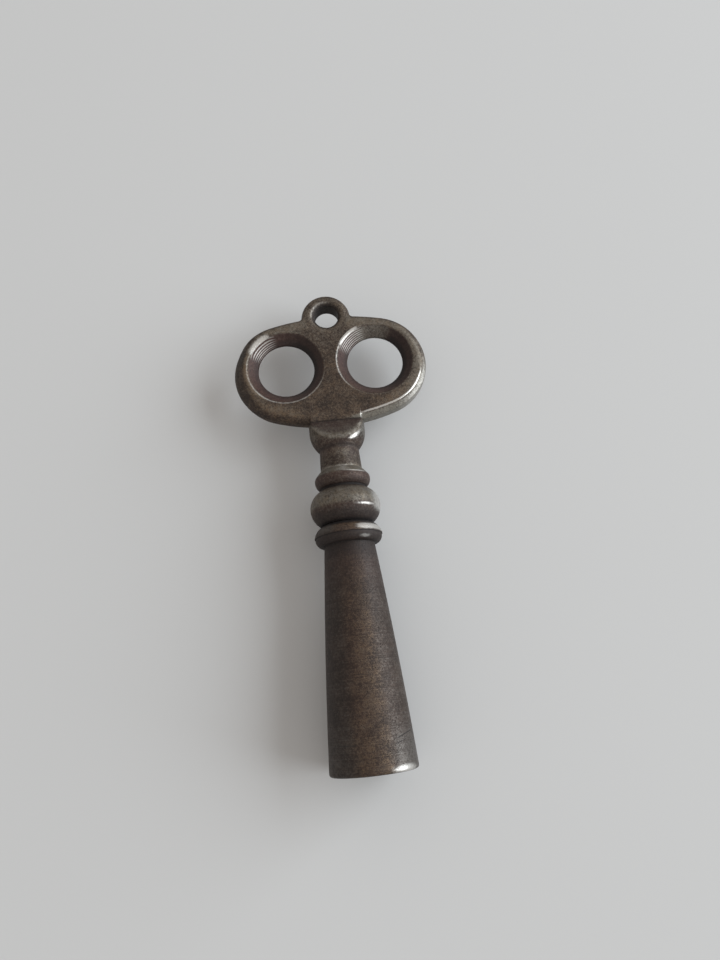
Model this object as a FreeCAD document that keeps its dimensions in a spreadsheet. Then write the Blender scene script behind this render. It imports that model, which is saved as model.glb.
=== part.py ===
"""Antique iron clock key: an oval bow with two finger holes and a hanging eye,
a turned stem, a tapered barrel with a collar, and a square socket for the
winding arbor.  Sizes are in millimetres.

The key lies flat.  The origin is the centre of the barrel's mouth, +Y runs
along the key towards the bow, +X across the bow, and +Z out of its face.
"""

import math
import os

import FreeCAD
import Part
import Sketcher

doc = FreeCAD.newDocument("clock_key")
Z_UP = FreeCAD.Vector(0, 0, 1)

# Driving dimensions: name, size and what it measures.
SIZES = [
    ("mouth_diameter", 11.8, "barrel at its mouth"),
    ("mouth_bevel", 0.3, "eased edge round the mouth"),
    ("shank_diameter", 7.15, "thin end of the taper"),
    ("taper_swell", 0.16, "how far the middle of the taper stands out"),
    ("barrel_length", 32.95, "mouth to the face that the stem sits on"),
    ("collar_diameter", 9.65, "barrel's collar at its edge"),
    ("collar_edge", 0.35, "upright edge of the collar"),
    ("collar_cap", 1.4, "domed top of the collar above that edge"),
    ("collar_cap_swell", 0.22, "how far the middle of that top stands out"),
    ("collar_top_diameter", 7.2, "collar where the stem sits on it"),
    ("collar_under", 1.15, "rounded underside between the taper and the collar's edge"),
    ("collar_under_swell", 0.3, "how far the middle of that underside stands out"),
    ("square_across_flats", 5.0, "socket for the winding arbor"),
    ("square_lead", 0.35, "bevel at the mouth of the square"),
    ("bush_wall", 0.71, "socket bush outside the square's corners"),
    ("bush_length", 14.0, "socket bush, flush with the mouth"),
    ("bush_chamfer", 0.3, "lead at the bush's inner end"),
    ("relief_clearance", 0.16, "room round the square's corners past the bush"),
    ("relief_length", 4.0, "length of that drilled clearance"),
    ("drill_point", 118.0, "angle of the drill's point, degrees"),
    ("spigot_diameter", 4.0, "stem's spigot in the top of the barrel"),
    ("spigot_length", 6.0, "length of that spigot"),
    ("spigot_clearance", 0.02, "gap round the spigot for the brazing"),
    ("bottom_gap", 0.4, "room left under the spigot and under the tang"),
    ("bead_diameter", 10.1, "round bead of the stem"),
    ("bead_root_diameter", 6.9, "bead at its top and bottom"),
    ("bead_height", 5.15, "bead, from the barrel up"),
    ("groove_height", 0.3, "groove between bead and ring"),
    ("ring_diameter", 8.0, "small ring of the stem"),
    ("ring_root_diameter", 6.6, "ring at its top and bottom"),
    ("ring_height", 2.55, "small ring"),
    ("ring_bevel", 0.55, "height of the bevels above and below its flat face"),
    ("neck_length", 3.25, "neck between ring and bolster"),
    ("neck_foot_diameter", 6.05, "neck at the ring"),
    ("neck_top_diameter", 5.75, "neck at the bolster"),
    ("dome_height", 3.0, "domed underside of the bolster"),
    ("dome_swell", 0.35, "how far the middle of that dome stands out"),
    ("bolster_diameter", 8.2, "bolster under the bow"),
    ("bolster_land", 1.3, "straight part of the bolster"),
    ("facet_length", 3.6, "filed flat, from the bow's seat down the bolster"),
    ("tang_shoulder", 0.2, "tang stands this far inside the bow's faces"),
    ("tang_length", 8.0, "length of the tang"),
    ("tang_clearance", 0.02, "gap round the tang for the brazing"),
    ("tip_chamfer", 0.35, "bevel at the tips of the tang and the spigot"),
    ("bow_thickness", 3.4, "bow plate"),
    ("bow_band", 1.95, "band round the outer side of a finger hole"),
    ("bow_low_crown", 1.15, "oval's lower side reaches this far below its round ends"),
    ("bow_high_crown", 0.8, "oval's upper side stands this far above its round ends"),
    ("bow_edge_bevel", 0.6, "eased outer edges of the bow"),
    ("root_sink", 0.25, "oval reaches this far below the seat before it is cut"),
    ("root_height", 2.0, "height of the bow's square root inside the oval"),
    ("finger_waist_diameter", 8.5, "narrowest part of a finger hole"),
    ("finger_rim_diameter", 11.7, "finger hole at the bow's faces"),
    ("finger_web", 1.75, "web between the two rims"),
    ("finger_lift", 0.6, "finger holes' centres above the oval's centre"),
    ("finger_offset", 0.12, "both holes sit this far to the right of the oval's middle"),
    ("finger_land", 0.5, "straight part at the waist of a finger hole"),
    ("finger_lip_width", 0.35, "worn lip of a finger hole, inside its rim"),
    ("finger_lip_depth", 0.2, "depth of that lip below the bow's faces"),
    ("eye_hole_diameter", 3.7, "hole of the hanging eye"),
    ("eye_band", 1.9, "band round that hole"),
    ("eye_sink", 0.15, "eye's centre below the oval's top"),
    ("eye_offset", 0.2, "the hand-filed eye sits this far to the right"),
    ("eye_bevel", 0.5, "bevel round the hole on both faces"),
    ("eye_root_round", 0.5, "hollow where the eye meets the oval"),
]

sheet = doc.addObject("Spreadsheet::Sheet", "Sizes")
for row, (name, size, meaning) in enumerate(SIZES, start=1):
    sheet.set(f"A{row}", name)
    sheet.set(f"B{row}", str(size))
    sheet.set(f"C{row}", meaning)
    sheet.setAlias(f"B{row}", name)
doc.recompute()


def size(name):
    """Expression text for one cell of the sheet."""
    return f"Sizes.{name}"


def half(name):
    """Expression text for half of one cell, such as a radius."""
    return f"Sizes.{name} / 2"


def value(text):
    """Number that an expression gives now."""
    result = sheet.evalExpression(text)
    return float(getattr(result, "Value", result))


# Heights of the seats and mouldings above the mouth.
SEAT = size("barrel_length")
BEAD_TOP = f"({SEAT} + Sizes.bead_height)"
RING_FOOT = f"({BEAD_TOP} + Sizes.groove_height)"
RING_TOP = f"({RING_FOOT} + Sizes.ring_height)"
NECK_TOP = f"({RING_TOP} + Sizes.neck_length)"
DOME_TOP = f"({NECK_TOP} + Sizes.dome_height)"
BOW_SEAT = f"({DOME_TOP} + Sizes.bolster_land)"
POINT_SLOPE = "tan((180 - Sizes.drill_point) / 2 * 1 deg)"

# Radii that two pieces share, or that follow from other sizes.
SQUARE_CORNER = "(Sizes.square_across_flats * sqrt(2) / 2)"
BUSH_RADIUS = f"({SQUARE_CORNER} + Sizes.bush_wall)"
TANG_RADIUS = "(Sizes.bow_thickness / 2 - Sizes.tang_shoulder)"
EYE_RADIUS = "(Sizes.eye_hole_diameter / 2 + Sizes.eye_band)"

# The oval of the bow is laid out from the finger holes.
FINGER_ACROSS = "((Sizes.finger_rim_diameter + Sizes.finger_web) / 2)"
END_RADIUS = "(Sizes.finger_rim_diameter / 2 + Sizes.bow_band)"
OVAL_CENTRE = f"({BOW_SEAT} + {END_RADIUS} + Sizes.bow_low_crown - Sizes.root_sink)"
FINGER_CENTRE = f"({OVAL_CENTRE} + Sizes.finger_lift)"
EYE_CENTRE = f"({OVAL_CENTRE} + {END_RADIUS} + Sizes.bow_high_crown - Sizes.eye_sink)"


def swell_radius(chord, swell):
    """Radius of an arc over a chord that rises above it by the swell."""
    return f"(({chord})^2 / 4 + ({swell})^2) / (2 * ({swell}))"


def knee(foot, top, swell):
    """Corner halfway up a slope, moved out from the straight line by the swell."""
    across = f"({top[0]} - {foot[0]})"
    along = f"({top[1]} - {foot[1]})"
    slope = f"sqrt({across}^2 + {along}^2)"
    out = f"(({foot[0]} + {top[0]}) / 2 + {swell} * {along} / {slope})"
    up = f"(({foot[1]} + {top[1]}) / 2 - {swell} * {across} / {slope})"
    return out, up


def side_arc(crown):
    """Arc tangent to both ends of the oval: its radius, and where it meets them."""
    half_height = f"({END_RADIUS} + {crown})"
    radius = f"(({FINGER_ACROSS}^2 + {half_height}^2 - {END_RADIUS}^2) / (2 * {crown}))"
    reach = f"({radius} - {END_RADIUS})"
    meet_across = f"({FINGER_ACROSS} * {radius} / {reach})"
    meet_up = f"(({radius} - {half_height}) * {END_RADIUS} / {reach})"
    return radius, meet_across, meet_up


def new_body(name):
    """Empty body whose label names its node."""
    body = doc.addObject("PartDesign::Body", name)
    body.Label = name
    body.Placement = FreeCAD.Placement()
    return body


def origin_plane(body, role):
    """One of the body's own origin planes."""
    for feature in body.Origin.OriginFeatures:
        if feature.Role == role:
            return feature
    raise ValueError(f"no plane {role}")


def new_sketch(body, role, name, lift=None):
    """Sketch on an origin plane, lifted along the plane's normal."""
    sketch = body.newObject("Sketcher::SketchObject", name)
    sketch.AttachmentSupport = [(origin_plane(body, role), "")]
    sketch.MapMode = "FlatFace"
    if lift:
        sketch.setExpression("AttachmentOffset.Base.z", lift)
        doc.recompute()
    return sketch


def drive(sketch, constraint, name, text):
    """Add a constraint and tie its size to an expression."""
    index = sketch.addConstraint(constraint)
    sketch.renameConstraint(index, name)
    sketch.setExpression(f"Constraints.{name}", text)


def place_point(sketch, edge, end, name, across, along):
    """Hold one end of an edge at a position given by two expressions."""
    for axis_name, line, text in (("DistanceX", -2, across), ("DistanceY", -1, along)):
        distance = value(text)
        if text == "0":
            sketch.addConstraint(Sketcher.Constraint("PointOnObject", edge, end, line))
        else:
            constraint = Sketcher.Constraint(axis_name, -1, 1, edge, end, distance)
            drive(sketch, constraint, f"{name}_{axis_name[-1]}", text)


def arc_between(start, finish, radius, turns_left):
    """Short arc from start to finish, with its centre left or right of the way."""
    chord = finish - start
    middle = (start + finish) * 0.5
    left = FreeCAD.Vector(-chord.y, chord.x, 0).normalize()
    reach = math.sqrt(max(radius**2 - (chord.Length / 2) ** 2, 0.0))
    centre = middle + left * (reach if turns_left else -reach)
    first, last = (start, finish) if turns_left else (finish, start)
    begin = math.atan2(first.y - centre.y, first.x - centre.x)
    end = math.atan2(last.y - centre.y, last.x - centre.x)
    if end < begin:
        end += 2 * math.pi
    return Part.ArcOfCircle(Part.Circle(centre, Z_UP, radius), begin, end)


def closed_profile(sketch, corners):
    """Closed outline.  A corner is its name, its two coordinates and the edge
    that leaves it: None for a line, or the radius of an arc and whether that
    arc turns left."""
    points = [FreeCAD.Vector(value(x), value(y), 0) for _, x, y, _ in corners]
    ends = []
    for index, (name, _, _, edge) in enumerate(corners):
        start = points[index]
        finish = points[(index + 1) % len(points)]
        if edge is None:
            sketch.addGeometry(Part.LineSegment(start, finish), False)
            ends.append((1, 2))
        else:
            radius, turns_left = edge
            sketch.addGeometry(arc_between(start, finish, value(radius), turns_left), False)
            ends.append((1, 2) if turns_left else (2, 1))
    for index, (name, across, along, edge) in enumerate(corners):
        after = (index + 1) % len(corners)
        joint = Sketcher.Constraint("Coincident", index, ends[index][1], after, ends[after][0])
        sketch.addConstraint(joint)
        place_point(sketch, index, ends[index][0], name, across, along)
        if edge is not None:
            radius_now = Sketcher.Constraint("Radius", index, value(edge[0]))
            drive(sketch, radius_now, f"{name}_radius", edge[0])


def add_circle(sketch, name, across, along, radius):
    """Circle whose centre and radius are given by expressions."""
    centre = FreeCAD.Vector(value(across), value(along), 0)
    edge = sketch.addGeometry(Part.Circle(centre, Z_UP, value(radius)), False)
    place_point(sketch, edge, 3, name, across, along)
    drive(sketch, Sketcher.Constraint("Radius", edge, value(radius)), f"{name}_radius", radius)


def revolved(body, sketch, name, kind="PartDesign::Revolution", axis="V_Axis"):
    """Full turn of a sketch about one of its axes."""
    feature = body.newObject(kind, name)
    feature.Profile = sketch
    feature.ReferenceAxis = (sketch, [axis])
    feature.Angle = 360
    doc.recompute()
    return feature


def extruded(body, sketch, name, length, kind="PartDesign::Pad", both_ways=True, backwards=False):
    """Pad or pocket of a sketch, by default to both sides of its plane."""
    feature = body.newObject(kind, name)
    feature.Profile = sketch
    if both_ways:
        feature.SideType = "Symmetric"
    feature.Reversed = backwards
    feature.setExpression("Length", length)
    doc.recompute()
    return feature


def dressed(body, base, name, kind, picked, amount):
    """Fillet or chamfer on the edges of a feature that a rule picks."""
    edges = [f"Edge{number}" for number, edge in enumerate(base.Shape.Edges, start=1) if picked(edge)]
    if not edges:
        raise ValueError(f"{name} finds no edge")
    feature = body.newObject(kind, name)
    feature.Base = (base, edges)
    feature.setExpression("Radius" if kind.endswith("Fillet") else "Size", amount)
    doc.recompute()
    return feature


def mirrored(body, feature, plane, name):
    """Copy of a feature on the other side of one of the body's planes."""
    copy = body.newObject("PartDesign::Mirrored", name)
    copy.Originals = [feature]
    copy.MirrorPlane = (origin_plane(body, plane), [""])
    body.Tip = copy
    doc.recompute()
    return copy


def near(one, other):
    """Whether two lengths are the same for picking edges."""
    return abs(one - other) < 1e-4


def is_ring_at(height, radius):
    """Rule for a circle round the key's axis at a height."""
    def picked(edge):
        curve = edge.Curve
        if not isinstance(curve, Part.Circle):
            return False
        return near(curve.Center.y, value(height)) and near(curve.Radius, value(radius))
    return picked


def make_barrel():
    """Tapered pipe with its collar, bored from both ends."""
    body = new_body("barrel")
    sketch = new_sketch(body, "XY_Plane", "barrel_profile")
    edge_height = f"({SEAT} - Sizes.collar_cap)"
    under_top = f"({edge_height} - Sizes.collar_edge)"
    mouth = (half("mouth_diameter"), "0")
    shank = (half("shank_diameter"), f"({under_top} - Sizes.collar_under)")
    edge_foot = (half("collar_diameter"), under_top)
    edge_top = (half("collar_diameter"), edge_height)
    seat = (half("collar_top_diameter"), SEAT)
    spigot_bore = "(Sizes.spigot_diameter / 2 + Sizes.spigot_clearance)"
    spigot_floor = f"({SEAT} - Sizes.spigot_length - Sizes.bottom_gap)"
    relief_top = "(Sizes.bush_length + Sizes.relief_length)"
    relief_radius = f"({SQUARE_CORNER} + Sizes.relief_clearance)"
    closed_profile(sketch, [
        ("mouth", *mouth, None),
        ("taper_middle", *knee(mouth, shank, size("taper_swell")), None),
        ("shank", *shank, None),
        ("under_middle", *knee(shank, edge_foot, size("collar_under_swell")), None),
        ("edge_foot", *edge_foot, None),
        ("edge_top", *edge_top, None),
        ("cap_middle", *knee(edge_top, seat, size("collar_cap_swell")), None),
        ("seat", *seat, None),
        ("spigot_bore", spigot_bore, SEAT, None),
        ("spigot_floor", spigot_bore, spigot_floor, None),
        ("spigot_point", "0", f"{spigot_floor} - {spigot_bore} * {POINT_SLOPE}", None),
        ("relief_point", "0", f"{relief_top} + {relief_radius} * {POINT_SLOPE}", None),
        ("relief_top", relief_radius, relief_top, None),
        ("relief_foot", relief_radius, size("bush_length"), None),
        ("bush_floor", BUSH_RADIUS, size("bush_length"), None),
        ("bush_mouth", BUSH_RADIUS, "0", None),
    ])
    turned = revolved(body, sketch, "barrel_turned")
    mouth_edge = is_ring_at("0", half("mouth_diameter"))
    dressed(body, turned, "mouth_eased", "PartDesign::Chamfer", mouth_edge, size("mouth_bevel"))
    return body


def make_socket_bush():
    """Steel bush with the square hole, pressed flush into the mouth."""
    body = new_body("socket_bush")
    outside = new_sketch(body, "XZ_Plane", "bush_outline")
    add_circle(outside, "bush", "0", "0", BUSH_RADIUS)
    blank = extruded(body, outside, "bush_blank", size("bush_length"), both_ways=False, backwards=True)
    inner_edge = is_ring_at(size("bush_length"), BUSH_RADIUS)
    eased = dressed(body, blank, "bush_eased", "PartDesign::Chamfer", inner_edge, size("bush_chamfer"))
    square = new_sketch(body, "XZ_Plane", "square_outline")
    side = half("square_across_flats")
    closed_profile(square, [
        ("low_left", f"-({side})", f"-({side})", None),
        ("low_right", side, f"-({side})", None),
        ("high_right", side, side, None),
        ("high_left", f"-({side})", side, None),
    ])
    pocket = extruded(body, square, "square_hole", f"2 * {size('bush_length')}", "PartDesign::Pocket")
    if pocket.Shape.Volume >= eased.Shape.Volume:
        raise ValueError("the square hole cut nothing")

    def at_the_mouth(edge):
        ends = [vertex.Point.y for vertex in edge.Vertexes]
        return isinstance(edge.Curve, Part.Line) and all(near(y, 0.0) for y in ends)

    dressed(body, pocket, "square_eased", "PartDesign::Chamfer", at_the_mouth, size("square_lead"))
    return body


def make_stem():
    """Turned baluster: bolster, neck, ring and bead, drilled for the tang,
    with a spigot for the barrel and the bolster filed flat front and back."""
    body = new_body("stem")
    sketch = new_sketch(body, "XY_Plane", "stem_profile")
    bead_swell = "(Sizes.bead_diameter - Sizes.bead_root_diameter) / 2"
    bead_radius = swell_radius(size("bead_height"), bead_swell)
    neck_top = (half("neck_top_diameter"), NECK_TOP)
    dome_top = (half("bolster_diameter"), DOME_TOP)
    tang_hole = f"({TANG_RADIUS} + Sizes.tang_clearance)"
    tang_floor = f"({BOW_SEAT} - Sizes.tang_length - Sizes.bottom_gap)"
    spigot_tip = f"({SEAT} - Sizes.spigot_length)"
    closed_profile(sketch, [
        ("spigot_tip", half("spigot_diameter"), spigot_tip, None),
        ("spigot_root", half("spigot_diameter"), SEAT, None),
        ("bead_foot", half("bead_root_diameter"), SEAT, (bead_radius, True)),
        ("bead_top", half("bead_root_diameter"), BEAD_TOP, None),
        ("ring_foot", half("ring_root_diameter"), RING_FOOT, None),
        ("ring_low", half("ring_diameter"), f"{RING_FOOT} + Sizes.ring_bevel", None),
        ("ring_high", half("ring_diameter"), f"{RING_TOP} - Sizes.ring_bevel", None),
        ("ring_top", half("ring_root_diameter"), RING_TOP, None),
        ("neck_foot", half("neck_foot_diameter"), RING_TOP, None),
        ("neck_top", *neck_top, None),
        ("dome_middle", *knee(neck_top, dome_top, size("dome_swell")), None),
        ("dome_top", *dome_top, None),
        ("bolster_top", half("bolster_diameter"), BOW_SEAT, None),
        ("tang_mouth", tang_hole, BOW_SEAT, None),
        ("tang_floor", tang_hole, tang_floor, None),
        ("tang_point", "0", f"{tang_floor} - {tang_hole} * {POINT_SLOPE}", None),
        ("spigot_end", "0", spigot_tip, None),
    ])
    turned = revolved(body, sketch, "stem_turned")
    tip_edge = is_ring_at(spigot_tip, half("spigot_diameter"))
    tipped = dressed(body, turned, "spigot_eased", "PartDesign::Chamfer", tip_edge, size("tip_chamfer"))
    facet = new_sketch(body, "YZ_Plane", "facet_outline")
    past = size("bolster_diameter")
    closed_profile(facet, [
        ("seat", BOW_SEAT, half("bow_thickness"), None),
        ("past_seat", f"{BOW_SEAT} + {past}", half("bow_thickness"), None),
        ("past_top", f"{BOW_SEAT} + {past}", past, None),
        ("over_foot", f"{BOW_SEAT} - Sizes.facet_length", past, None),
        ("foot", f"{BOW_SEAT} - Sizes.facet_length", half("bolster_diameter"), None),
    ])
    filed = extruded(body, facet, "front_facet", f"2 * {past}", "PartDesign::Pocket")
    if filed.Shape.Volume >= tipped.Shape.Volume:
        raise ValueError("the facet cut nothing")
    mirrored(body, filed, "XY_Plane", "back_facet")
    return body


def make_bow():
    """Oval plate with two countersunk finger holes, a hanging eye and a tang."""
    body = new_body("bow")
    thickness = size("bow_thickness")
    low_radius, low_across, low_drop = side_arc(size("bow_low_crown"))
    high_radius, high_across, high_rise = side_arc(size("bow_high_crown"))
    oval = new_sketch(body, "XY_Plane", "oval_outline")
    closed_profile(oval, [
        ("low_left", f"-{low_across}", f"{OVAL_CENTRE} - {low_drop}", (low_radius, True)),
        ("low_right", low_across, f"{OVAL_CENTRE} - {low_drop}", (END_RADIUS, True)),
        ("high_right", high_across, f"{OVAL_CENTRE} + {high_rise}", (high_radius, True)),
        ("high_left", f"-{high_across}", f"{OVAL_CENTRE} + {high_rise}", (END_RADIUS, True)),
    ])
    extruded(body, oval, "oval_plate", thickness)
    eye = new_sketch(body, "XY_Plane", "eye_outline")
    add_circle(eye, "eye", size("eye_offset"), EYE_CENTRE, EYE_RADIUS)
    plate = extruded(body, eye, "eye_disc", thickness)

    def stands_up(edge):
        ends = [vertex.Point for vertex in edge.Vertexes]
        if len(ends) != 2 or not isinstance(edge.Curve, Part.Line):
            return False
        upright = near(ends[0].x, ends[1].x) and near(ends[0].y, ends[1].y)
        from_eye = math.hypot(ends[0].x - value(size("eye_offset")), ends[0].y - value(EYE_CENTRE))
        return upright and near(from_eye, value(EYE_RADIUS))

    def on_a_face(edge):
        return all(near(abs(vertex.Point.z), value(half("bow_thickness"))) for vertex in edge.Vertexes)

    hollowed = dressed(body, plate, "eye_root", "PartDesign::Fillet", stands_up, size("eye_root_round"))
    dressed(body, hollowed, "outer_eased", "PartDesign::Chamfer", on_a_face, size("bow_edge_bevel"))
    # The root is as wide as the bolster is at the bow's faces.
    root_reach = "sqrt((Sizes.bolster_diameter / 2)^2 - (Sizes.bow_thickness / 2)^2)"
    root_top = f"{BOW_SEAT} + Sizes.root_height"
    root = new_sketch(body, "XY_Plane", "root_outline")
    closed_profile(root, [
        ("low_left", f"-{root_reach}", BOW_SEAT, None),
        ("low_right", root_reach, BOW_SEAT, None),
        ("high_right", root_reach, root_top, None),
        ("high_left", f"-{root_reach}", root_top, None),
    ])
    rooted = extruded(body, root, "square_root", thickness)
    past_side = f"({FINGER_ACROSS} + {END_RADIUS})"
    past_bottom = f"{BOW_SEAT} - {END_RADIUS}"
    seat = new_sketch(body, "XY_Plane", "seat_outline")
    closed_profile(seat, [
        ("low_left", f"-{past_side}", past_bottom, None),
        ("low_right", past_side, past_bottom, None),
        ("high_right", past_side, BOW_SEAT, None),
        ("high_left", f"-{past_side}", BOW_SEAT, None),
    ])
    seated = extruded(body, seat, "seat_flat", f"2 * {thickness}", "PartDesign::Pocket")
    if seated.Shape.Volume >= rooted.Shape.Volume:
        raise ValueError("the seat cut nothing")
    cut_finger_hole(body, "left", f"(Sizes.finger_offset - {FINGER_ACROSS})")
    cut_finger_hole(body, "right", f"(Sizes.finger_offset + {FINGER_ACROSS})")
    cut_eye_hole(body)
    add_tang(body)
    return body


def cut_finger_hole(body, side, across):
    """Countersunk hole with a worn lip, cut as a turned shape."""
    face = half("bow_thickness")
    land = half("finger_land")
    waist = f"({across} + Sizes.finger_waist_diameter / 2)"
    rim = f"({across} + Sizes.finger_rim_diameter / 2)"
    lip = f"({rim} - Sizes.finger_lip_width)"
    lip_height = f"({face} - Sizes.finger_lip_depth)"
    # The lips run on past both faces by as much again as they are deep.
    past_rim = f"({rim} + Sizes.finger_lip_width)"
    past_face = f"({face} + Sizes.finger_lip_depth)"
    sketch = new_sketch(body, "XZ_Plane", f"{side}_finger_profile", f"-{FINGER_CENTRE}")
    closed_profile(sketch, [
        ("axis_low", across, f"-{past_face}", None),
        ("rim_low", past_rim, f"-{past_face}", None),
        ("lip_low", lip, f"-{lip_height}", None),
        ("waist_low", waist, f"-({land})", None),
        ("waist_high", waist, land, None),
        ("lip_high", lip, lip_height, None),
        ("rim_high", past_rim, past_face, None),
        ("axis_high", across, past_face, None),
    ])
    low = FreeCAD.Vector(value(across), -value(past_face), 0)
    high = FreeCAD.Vector(value(across), value(past_face), 0)
    axis = sketch.addGeometry(Part.LineSegment(low, high), True)
    place_point(sketch, axis, 1, "turning_low", across, f"-{past_face}")
    place_point(sketch, axis, 2, "turning_high", across, past_face)
    before = body.Tip.Shape.Volume
    hole = revolved(body, sketch, f"{side}_finger_hole", "PartDesign::Groove", "Axis0")
    if hole.Shape.Volume >= before:
        raise ValueError(f"the {side} finger hole cut nothing")


def cut_eye_hole(body):
    """Plain hole through the eye, bevelled on both faces."""
    sketch = new_sketch(body, "XY_Plane", "eye_hole_outline")
    add_circle(sketch, "hole", size("eye_offset"), EYE_CENTRE, half("eye_hole_diameter"))
    before = body.Tip.Shape.Volume
    hole = extruded(body, sketch, "eye_hole", f"2 * {size('bow_thickness')}", "PartDesign::Pocket")
    if hole.Shape.Volume >= before:
        raise ValueError("the eye's hole cut nothing")

    def is_rim(edge):
        curve = edge.Curve
        return isinstance(curve, Part.Circle) and near(curve.Radius, value(half("eye_hole_diameter")))

    dressed(body, hole, "eye_bevels", "PartDesign::Chamfer", is_rim, size("eye_bevel"))


def add_tang(body):
    """Round tang below the seat, rooted inside the plate."""
    sketch = new_sketch(body, "XZ_Plane", "tang_outline", f"-({BOW_SEAT} + Sizes.root_height / 2)")
    add_circle(sketch, "tang", "0", "0", TANG_RADIUS)
    length = "Sizes.tang_length + Sizes.root_height / 2"
    tang = extruded(body, sketch, "tang", length, both_ways=False)
    tip_edge = is_ring_at(f"{BOW_SEAT} - Sizes.tang_length", TANG_RADIUS)
    dressed(body, tang, "tang_eased", "PartDesign::Chamfer", tip_edge, size("tip_chamfer"))


nodes = [make_barrel(), make_socket_bush(), make_stem(), make_bow()]
doc.recompute()

for item in doc.Objects:
    if {"Invalid", "Error"} & set(item.State):
        raise RuntimeError(f"{item.Label} failed: {item.State}")
for node in nodes:
    if node.Shape.isNull() or not node.Shape.isValid() or len(node.Shape.Solids) != 1:
        raise RuntimeError(f"{node.Label} is not one valid solid")

os.makedirs("parts", exist_ok=True)
for node in nodes:
    node.Shape.exportStep(f"parts/{node.Label}.step")
    box = node.Shape.BoundBox
    print(f"{node.Label}: volume {node.Shape.Volume:.1f} mm3, y {box.YMin:.2f} to {box.YMax:.2f}")
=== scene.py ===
"""Looks of the antique iron clock key: worn shapes, patina, floor, light and camera."""

import math

import bmesh
import bpy
import numpy as np
from mathutils import Matrix, Vector


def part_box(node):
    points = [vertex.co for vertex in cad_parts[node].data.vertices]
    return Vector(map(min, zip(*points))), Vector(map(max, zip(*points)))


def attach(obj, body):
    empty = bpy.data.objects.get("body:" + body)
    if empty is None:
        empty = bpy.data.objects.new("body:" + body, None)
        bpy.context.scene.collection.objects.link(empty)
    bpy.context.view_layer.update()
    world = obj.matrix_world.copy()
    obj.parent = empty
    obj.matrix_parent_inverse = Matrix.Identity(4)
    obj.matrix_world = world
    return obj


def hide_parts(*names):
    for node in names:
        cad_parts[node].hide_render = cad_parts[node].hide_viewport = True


MM = 0.001

# Faces round each turned piece.
SEGMENTS = 224

# Stem and barrel, in millimetres; the heights are from the mouth.
BARREL_TOP = 32.95
BEAD_TOP = 38.1
COLLAR_FOOT = 30.05
COLLAR_EDGE = 31.42
RING_FOOT = 38.4
RING_TOP = 40.95
NECK_TOP = 44.2
DOME_TOP = 47.2
BOLSTER_RADIUS = 4.1
FACET_LENGTH = 3.6
BOW_SEAT = 48.5

# Bow, in millimetres: x is across the key, y up it and z through it.
HALF_THICK = 1.7
END_ACROSS = 6.725
LEFT_HOLE = -6.61
RIGHT_HOLE = 6.86
END_RADIUS = 7.8
LOW_HEIGHT = 8.95
HIGH_HEIGHT = 8.6
OVAL_Y = 57.2
FINGER_Y = 57.8
WAIST_RADIUS = 4.22
RIM_RADIUS = 5.85
CONE_RADIUS = RIM_RADIUS - 0.1
INNER_RIM = RIM_RADIUS - 0.35
HALF_LAND = 0.25
EYE_X = 0.13
EYE_Y = 65.64
EYE_RADIUS = 3.75
EYE_BLEND = 0.45
EYE_HOLE_X = 0.23
EYE_HOLE_Y = 65.68
EYE_HOLE = 1.85
EYE_BEVEL = 0.5
ROOT_REACH = 3.731
ROOT_HEIGHT = 2.0
TANG_RADIUS = 1.5
TANG_TIP = 40.5

# Direction, to the left and up, in which the finger holes' rims are worn rounder and carry a painted
# highlight.
LIT_LEFT = 0.67
LIT_UP = 0.74

# Depth through the key where a surface counts as near the bow's face.
WALL_DEPTH = 1.2
EDGE_DEPTH = 1.5

# Linear colours of the iron: patina, rust, bright worn edges that also serve as painted highlights, and
# soot for grime, pits and painted shade.
UMBER = (0.052, 0.033, 0.024, 1.0)
DARK_UMBER = (0.028, 0.019, 0.015, 1.0)
RUST = (0.066, 0.028, 0.024, 1.0)
BRIGHT_WEAR_AND_GLINT = (0.66, 0.64, 0.61, 1.0)
# Soot also paints shade: under the collar, on the holes' walls that face left and on sides turned from the
# lamp.
SOOT_AND_SHADE = (0.011, 0.009, 0.009, 1.0)

# How much each mark or noise counts in the iron's colour.
RUB_AND_SHEEN_GAIN = 0.18
PATCH_GAIN = 0.25
LINE_GAIN = 0.25
TONE_GAIN = 0.3
RUBBED_ON_RUST = 0.45
PIT_DARKNESS = 0.75
RING_BRIGHTNESS = 0.5
SCRATCH_DARKNESS = 0.8

# Distance between the tool marks in the finger holes, in millimetres.
RING_PITCH = 0.21

# Roughness and metal of patina, rubbed iron, bright edge, and rust or grime with painted shade.
PATINA_ROUGH = 0.52
RUBBED_ROUGH = 0.44
BRIGHT_ROUGH = 0.26
DIRTY_ROUGH = 0.65
PATINA_METAL = 0.35
RUBBED_METAL = 0.75
BRIGHT_METAL = 0.97
RUST_METAL = 0.1
SPECULAR = 0.3

# Relief of the iron: depth in millimetres, and what each noise or mark adds to it.
BUMP_DEPTH = 0.04
GRAIN_HEIGHT = 0.5
MOTTLE_HEIGHT = 0.6
PIT_HEIGHT = 0.6
DIRT_HEIGHT = 0.4
LINE_HEIGHT = 0.35
RING_HEIGHT = 0.3
BRIGHT_RELIEF = 0.35

# Dull steel of the bush.
STEEL_DARK = (0.1, 0.09, 0.08, 1.0)
STEEL_LIGHT = (0.2, 0.19, 0.175, 1.0)
STEEL_METAL = 0.9
STEEL_BUMP = 0.02

# Floor, half its width in metres.
FLOOR_HALF = 3.0
FLOOR_COLOUR = (0.56, 0.56, 0.56, 1.0)
FLOOR_ROUGH = 0.85

# Camera fitted to the photograph; places in millimetres, roll in degrees.
SENSOR_WIDTH = 36.0
LENS = 27.75
NEAREST_SEEN = 0.005
CAMERA_PLACE = (-1.845, 9.278, 102.884)
CAMERA_TARGET = (2.537, 39.528, 0.0)
CAMERA_ROLL = 6.671

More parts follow.
